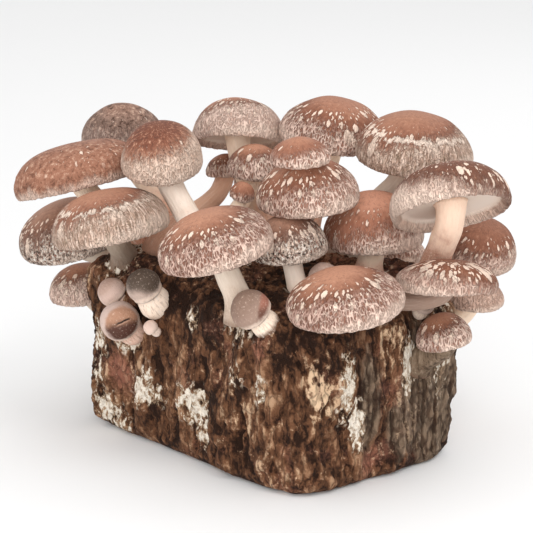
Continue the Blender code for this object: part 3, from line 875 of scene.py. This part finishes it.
def planReach(way, radius):
    run, rise = abs(way.x), abs(way.y)
    half = Vector(block["size"][:2]) / 2
    core = half - Vector((radius, radius))
    if run * core.y >= rise * half.x:
        return half.x / run
    if rise * core.x >= run * half.y:
        return half.y / rise
    along = run * core.x + rise * core.y
    return along + (along ** 2 - core.length_squared + radius ** 2) ** 0.5


def roundedPlace(point):
    half = Vector(block["size"]) / 2
    radius = block["topRadius"] if point.z > half.z else block["footRadius"]
    core = Vector((
        max(-half.x + radius, min(half.x - radius, point.x)),
        max(-half.y + radius, min(half.y - radius, point.y)),
        max(radius, min(block["size"][2] - radius, point.z)),
    ))
    out = point - core
    if out.length > 1e-6:
        out = out.normalized() * radius
    place = core + out
    flat = place.to_2d()
    if flat.length > 1e-6:
        way = flat.normalized()
        shrink = planReach(way, block["cornerRadius"]) / planReach(way, radius)
        place.x *= shrink
        place.y *= shrink
    return place


def solidRelief(point):
    # the same ridges and lumps as on the solid block
    upright = Vector((point.x, point.y, point.z / block["stretch"])) / block["spacing"]
    upper = max(0.0, min(1.0, (point.z / block["size"][2] - block["lumpsFrom"]) / (1 - block["lumpsFrom"])))
    bark = block["relief"] * noise.noise(upright) * (1 - (1 - block["barkOnTop"]) * upper)
    lumps = noise.noise(point / block["lumpSpacing"] + Vector(block["lumpShift"]))
    return 2 * bark + 2 * block["topLumps"] * lumps * upper


def drift(point):
    # three single noises, because noise_vector gives other values on each run
    return Vector([noise.noise(point + Vector((shift, 0, 0))) for shift in block["driftShifts"]])


def platesAt(point, push, spacing, width):
    # 0 in the crevices between plates, 1 on them
    across, tall = spacing
    place = Vector(((point.x + push[0]) / across, (point.y + push[1]) / across, (point.z + push[2]) / tall))
    near = noise.voronoi(place)[0]
    return smoothStep(near[1] - near[0], 0.0, width)


def barkDetail(point):
    # plates parted by crevices, scales on them, upright ridges, crumbs on all
    push = Vector((0, 0, 0))
    for spacing, reach in zip(block["driftSpacing"], block["driftReach"]):
        push += drift(point / spacing) * reach
    plates = platesAt(point, push, block["plateSpacing"], 0.45) - 1
    scales = platesAt(point, push.yzx, block["scaleSpacing"], 0.40) - 0.6
    upright = Vector((point.x + push.y, point.y + push.x, point.z * 0.24)) / block["ridgeSpacing"]
    ridges = 1 - abs(noise.noise(upright)) * 3.2
    crumbs = noise.fractal(point / block["crumbSpacing"], 0.8, 2.2, 4)
    out = block["plates"] * plates + block["scales"] * scales + block["ridges"] * (ridges - 1) * 0.5
    return out + block["crumbs"] * crumbs, plates + 0.6 * scales, ridges


def blockGrid():
    # the plain rounded block, cut into squares of about a millimetre, with one face underneath
    length, width, height = block["size"]
    bm = bmesh.new()
    bmesh.ops.create_cube(bm, size=1.0, matrix=Matrix.Translation((0, 0, height / 2))
                          @ Matrix.Diagonal((length, width, height, 1.0)))
    for axis, count in enumerate(block["cuts"]):
        along = [edge for edge in bm.edges
                 if abs((edge.verts[0].co - edge.verts[1].co)[axis]) > 0.5 * edge.calc_length()]
        bmesh.ops.subdivide_edges(bm, edges=along, cuts=count - 1, use_grid_fill=True)
    for vert in bm.verts:
        vert.co = roundedPlace(vert.co)
    underside = [face for face in bm.faces if max(vert.co.z for vert in face.verts) < 1e-4]
    bmesh.ops.dissolve_faces(bm, faces=underside)
    bm.normal_update()
    return bm


def marksAt(point, feet):
    # the strength of each kind of mark, and each knot's strength with its distance in reaches
    found = dict.fromkeys(("white", "red", "grey", "tan", "dark"), 0.0)
    knots = []
    for kind, places in barkMarks.items():
        for middle, across, tall, strength in places:
            away = point - Vector(middle)
            reached = (away.x ** 2 + away.y ** 2) / across ** 2 + (away.z / tall) ** 2
            share = strength * exp(-block["markFade"] * reached)
            if reached < block["markEdge"] ** 2 and kind == "knot":
                knots.append((share, reached ** 0.5))
            elif reached < block["markEdge"] ** 2:
                found[kind] = max(found[kind], share)
    for foot in feet:
        away = (point - foot).length_squared
        if away < block["feltReach"] ** 2:
            found["white"] = max(found["white"], block["feltStrength"] * exp(-away / block["feltFade"]))
    return found, knots


def buildBlock(material):
    height = block["size"][2]
    bm = blockGrid()
    marks = bm.verts.layers.float_vector.new("marks")
    form = bm.verts.layers.float_vector.new("form")
    moves = []
    feet = [Vector(row[5]) for row in mushrooms.values()]
    for vert in bm.verts:
        rise = min(1.0, vert.co.z / block["footRadius"])
        middle = sin(pi * min(1.0, vert.co.z / height))
        detail, plates, ridges = barkDetail(vert.co)
        found, knots = marksAt(vert.co, feet)
        for share, distance in knots:
            rings = cos(3.1 * pi * (distance + 0.15 * noise.noise(vert.co / 4)))
            ridges += rings * share
            detail = detail * (1 - 0.6 * share) + block["knotRings"] * rings * share
        across = (vert.co.x + vert.co.y) / block["plankWidth"] + 0.5 * noise.noise(vert.co / 22)
        groove = smoothStep(block["grooveWidth"] - abs(across % 1 - 0.5), 0.0, block["grooveWidth"])
        groove *= min(1.0, 1.6 * found["grey"])
        # in colour only: the grooves and the dark marks sink the plates value, painted shade in the grooves
        # and under the caps
        plates -= 1.4 * groove + 1.1 * found["dark"]
        crest = block["crestOfTan"] * found["tan"] * (0.6 + 0.8 * ridges)
        detail = detail * (1 - 0.45 * found["grey"]) + crest - block["grooves"] * groove
        out = solidRelief(vert.co) + block["sideBulge"] * middle + detail
        moves.append((vert, vert.normal * rise * out))
        vert[marks] = (found["white"], found["red"], found["grey"])
        vert[form] = (found["tan"], plates, ridges)
    for vert, move in moves:
        vert.co += move
        if vert.co.z < 1e-4:
            vert.co.z = 0.0
    bmesh.ops.triangulate(bm, faces=[face for face in bm.faces if len(face.verts) > 4])
    bmesh.ops.scale(bm, vec=(mm,) * 3, verts=bm.verts[:])
    finishPiece("blockSkin", bm, material, "block")


bark = {
    "dark": (0.024, 0.009, 0.004),
    "middle": (0.148, 0.063, 0.030),
    "light": (0.355, 0.190, 0.104),
    "tan": (0.80, 0.56, 0.36),
    "halo": (0.62, 0.43, 0.27),
    "white": (0.97, 0.88, 0.76),
    "red": (0.36, 0.145, 0.095),
    "grey": (0.255, 0.180, 0.122),
    "greyDark": (0.085, 0.055, 0.035),
    "greyLight": (0.42, 0.32, 0.235),
    "whiteShade": (0.66, 0.52, 0.39),
}


def barkMaterial():
    paint = Paint("barkSkin", 0.85)
    place = paint.place()
    white, red, grey = paint.split(paint.attribute("marks"))
    tan, plates, ridges = paint.split(paint.attribute("form"))
    upright = paint.shaken(paint.scaled(place, (1.0, 1.0, 0.42)), 0.16, 6.0)
    strands = paint.noise(upright, 0.30, 6.0, 0.70)
    coarse = paint.noise(upright, 0.075, 3.0, 0.6)
    crumbs = paint.noise(place, 0.48, 6.0, 0.75)
    veins = paint.cells(paint.shaken(upright, 0.5, 2.0), 0.17, "DISTANCE_TO_EDGE")
    cracks = 1 - veins.span(0.0, 0.10)

    # painted shade and highlight: the plates value darkens the crevices between the plates, and the upright
    # ridges come out lighter
    level = 0.60 + plates * 0.30 + ridges * 0.16 + (strands - 0.5) * 1.3 + (coarse - 0.5) * 1.8
    level = level + (crumbs - 0.5) * 0.9
    tone = paint.mix(level.span(0.10, 0.52), bark["dark"], bark["middle"])
    tone = paint.mix(level.span(0.50, 0.90), tone, bark["light"])
    # tan goes where the level is high: the bark's own tan patches, and painted highlight on the crests of the
    # ridges
    bright = (level + tan * 0.32 + ridges * tan * 0.14 - 0.06).span(0.72, 1.06)
    tone = paint.mix(bright * (0.22 + tan * 1.2).clamped(), tone, bark["tan"])
    stained = (red + (coarse - 0.5) * 1.2 + (crumbs - 0.5) * 1.4).span(0.25, 0.90)
    tone = paint.mix(stained * 0.70, tone, bark["red"])
    rust = paint.noise(place, 0.035, 3.0)
    tone = paint.mix((rust + (crumbs - 0.5) * 0.4).span(0.55, 0.70) * 0.35, tone, bark["red"])

    # grey fibrous planks
    fibres = paint.noise(paint.scaled(place, (1.0, 1.0, 0.12)), 0.42, 5.0, 0.66)
    plank = paint.mix(fibres.span(0.30, 0.54), bark["greyDark"], bark["grey"])
    plank = paint.mix(fibres.span(0.54, 0.72), plank, bark["greyLight"])
    # painted shade in the crevices and grooves of the grey planks
    plank = paint.mix(plates.span(-0.70, -1.35) * 0.75, plank, bark["dark"])
    tone = paint.mix((grey + (coarse - 0.5) * 1.1).span(0.35, 0.60) * 0.85, tone, plank)
    tone = paint.mix(cracks * 0.40, tone, bark["dark"])

    # white mycelium in torn patches, and specks of it all over
    holes = paint.noise(paint.shaken(paint.scaled(place, (1.0, 1.0, 0.70)), 0.2, 4.0), 0.30, 4.0, 0.60)
    lace = (holes - 0.5) * 4.2 + (crumbs - 0.5) * 0.8 + (strands - 0.5) * 0.8
    near = white.span(0.06, 0.30)
    torn = (white + lace).span(0.46, 0.66) * near
    specks = ((strands - 0.5) * 2.0 + (crumbs - 0.5) * 1.8 + (rust - 0.5) * 1.6).span(0.37, 0.60) * 0.65
    tone = paint.mix(specks * (1 - 0.7 * grey), tone, bark["tan"])
    tone = paint.mix((white * 1.3 + lace).span(0.28, 0.66) * near * 0.75, tone, bark["halo"])
    felt = paint.mix((crumbs + (strands - 0.5) * 0.5).span(0.34, 0.56), bark["whiteShade"], bark["white"])
    tone = paint.mix(torn * 0.97, tone, felt)
    paint.colour(tone)
    paint.roughness(0.80 + 0.12 * crumbs)
    relief = (strands - 0.5) * 1.8 + (crumbs - 0.5) * 1.3 - cracks * 0.8 + torn * 0.4
    paint.bump(relief + (fibres - 0.5) * grey)
    return paint.material


# The studio: a pale floor and soft light

studio = {
    "floor": (0.86, 0.86, 0.86),
    "floorShade": (0.80, 0.80, 0.80),
    "floorRadius": 14.0,       # metres
    "world": 0.97,
    # name: place and size in metres, power
    "lights": {
        "key": ((1.0, -0.1, 1.3), 0.7, 5.2),
        "fill": ((1.1, -0.9, 0.5), 0.9, 8.5),
        "side": ((0.0, -1.3, 0.4), 0.8, 2.6),
        "rim": ((-0.5, 1.0, 1.0), 0.9, 1.5),
    },
    "lightsAim": (0, 0, 0.08),
}


def softLight(name, place, size, power):
    data = bpy.data.lights.new(name, "AREA")
    data.shape = "DISK"
    data.size = size
    data.energy = power
    lamp = bpy.data.objects.new(name, data)
    bpy.context.collection.objects.link(lamp)
    lamp.location = place
    lamp.rotation_mode = "QUATERNION"
    lamp.rotation_quaternion = (Vector(studio["lightsAim"]) - Vector(place)).to_track_quat("-Z", "Y")


def buildStudio():
    bm = bmesh.new()
    bmesh.ops.create_circle(bm, cap_ends=True, segments=96, radius=studio["floorRadius"])
    mesh = bpy.data.meshes.new("floor")
    bm.to_mesh(mesh)
    bm.free()
    paint = Paint("paleFloor", 0.9)
    mottle = paint.noise(paint.place(), 0.003, 2.0)
    paint.colour(paint.mix(mottle * 0.1, studio["floor"], studio["floorShade"]))
    mesh.materials.append(paint.material)
    floor = bpy.data.objects.new("floor", mesh)
    bpy.context.collection.objects.link(floor)
    world = bpy.data.worlds.new("paleRoom")
    world.use_nodes = True
    sky = world.node_tree.nodes["Background"]
    sky.inputs["Color"].default_value = (1, 1, 1, 1)
    sky.inputs["Strength"].default_value = studio["world"]
    bpy.context.scene.world = world
    for name, (place, size, power) in studio["lights"].items():
        softLight(name, place, size, power)
    bpy.context.scene.view_settings.view_transform = "Standard"


placeCamera()
buildStudio()
print("camera and studio placed")
buildBlock(barkMaterial())
print("block built")
capPaints = {look: capMaterial(look) for look in capLooks}
stemPaints = {look: stemMaterial(look) for look in stemLooks}
for number, (*_, capLook, stemLook) in mushrooms.items():
    buildCap(number, capPaints[capLook])
    buildStem(number, stemPaints[stemLook])
print("mushrooms built")
buttonPaints = {look: buttonMaterial(look) for look in buttonLooks}
for number, (*_, look) in buttons.items():
    buildButton(number, buttonPaints[look])
print("buttons built")
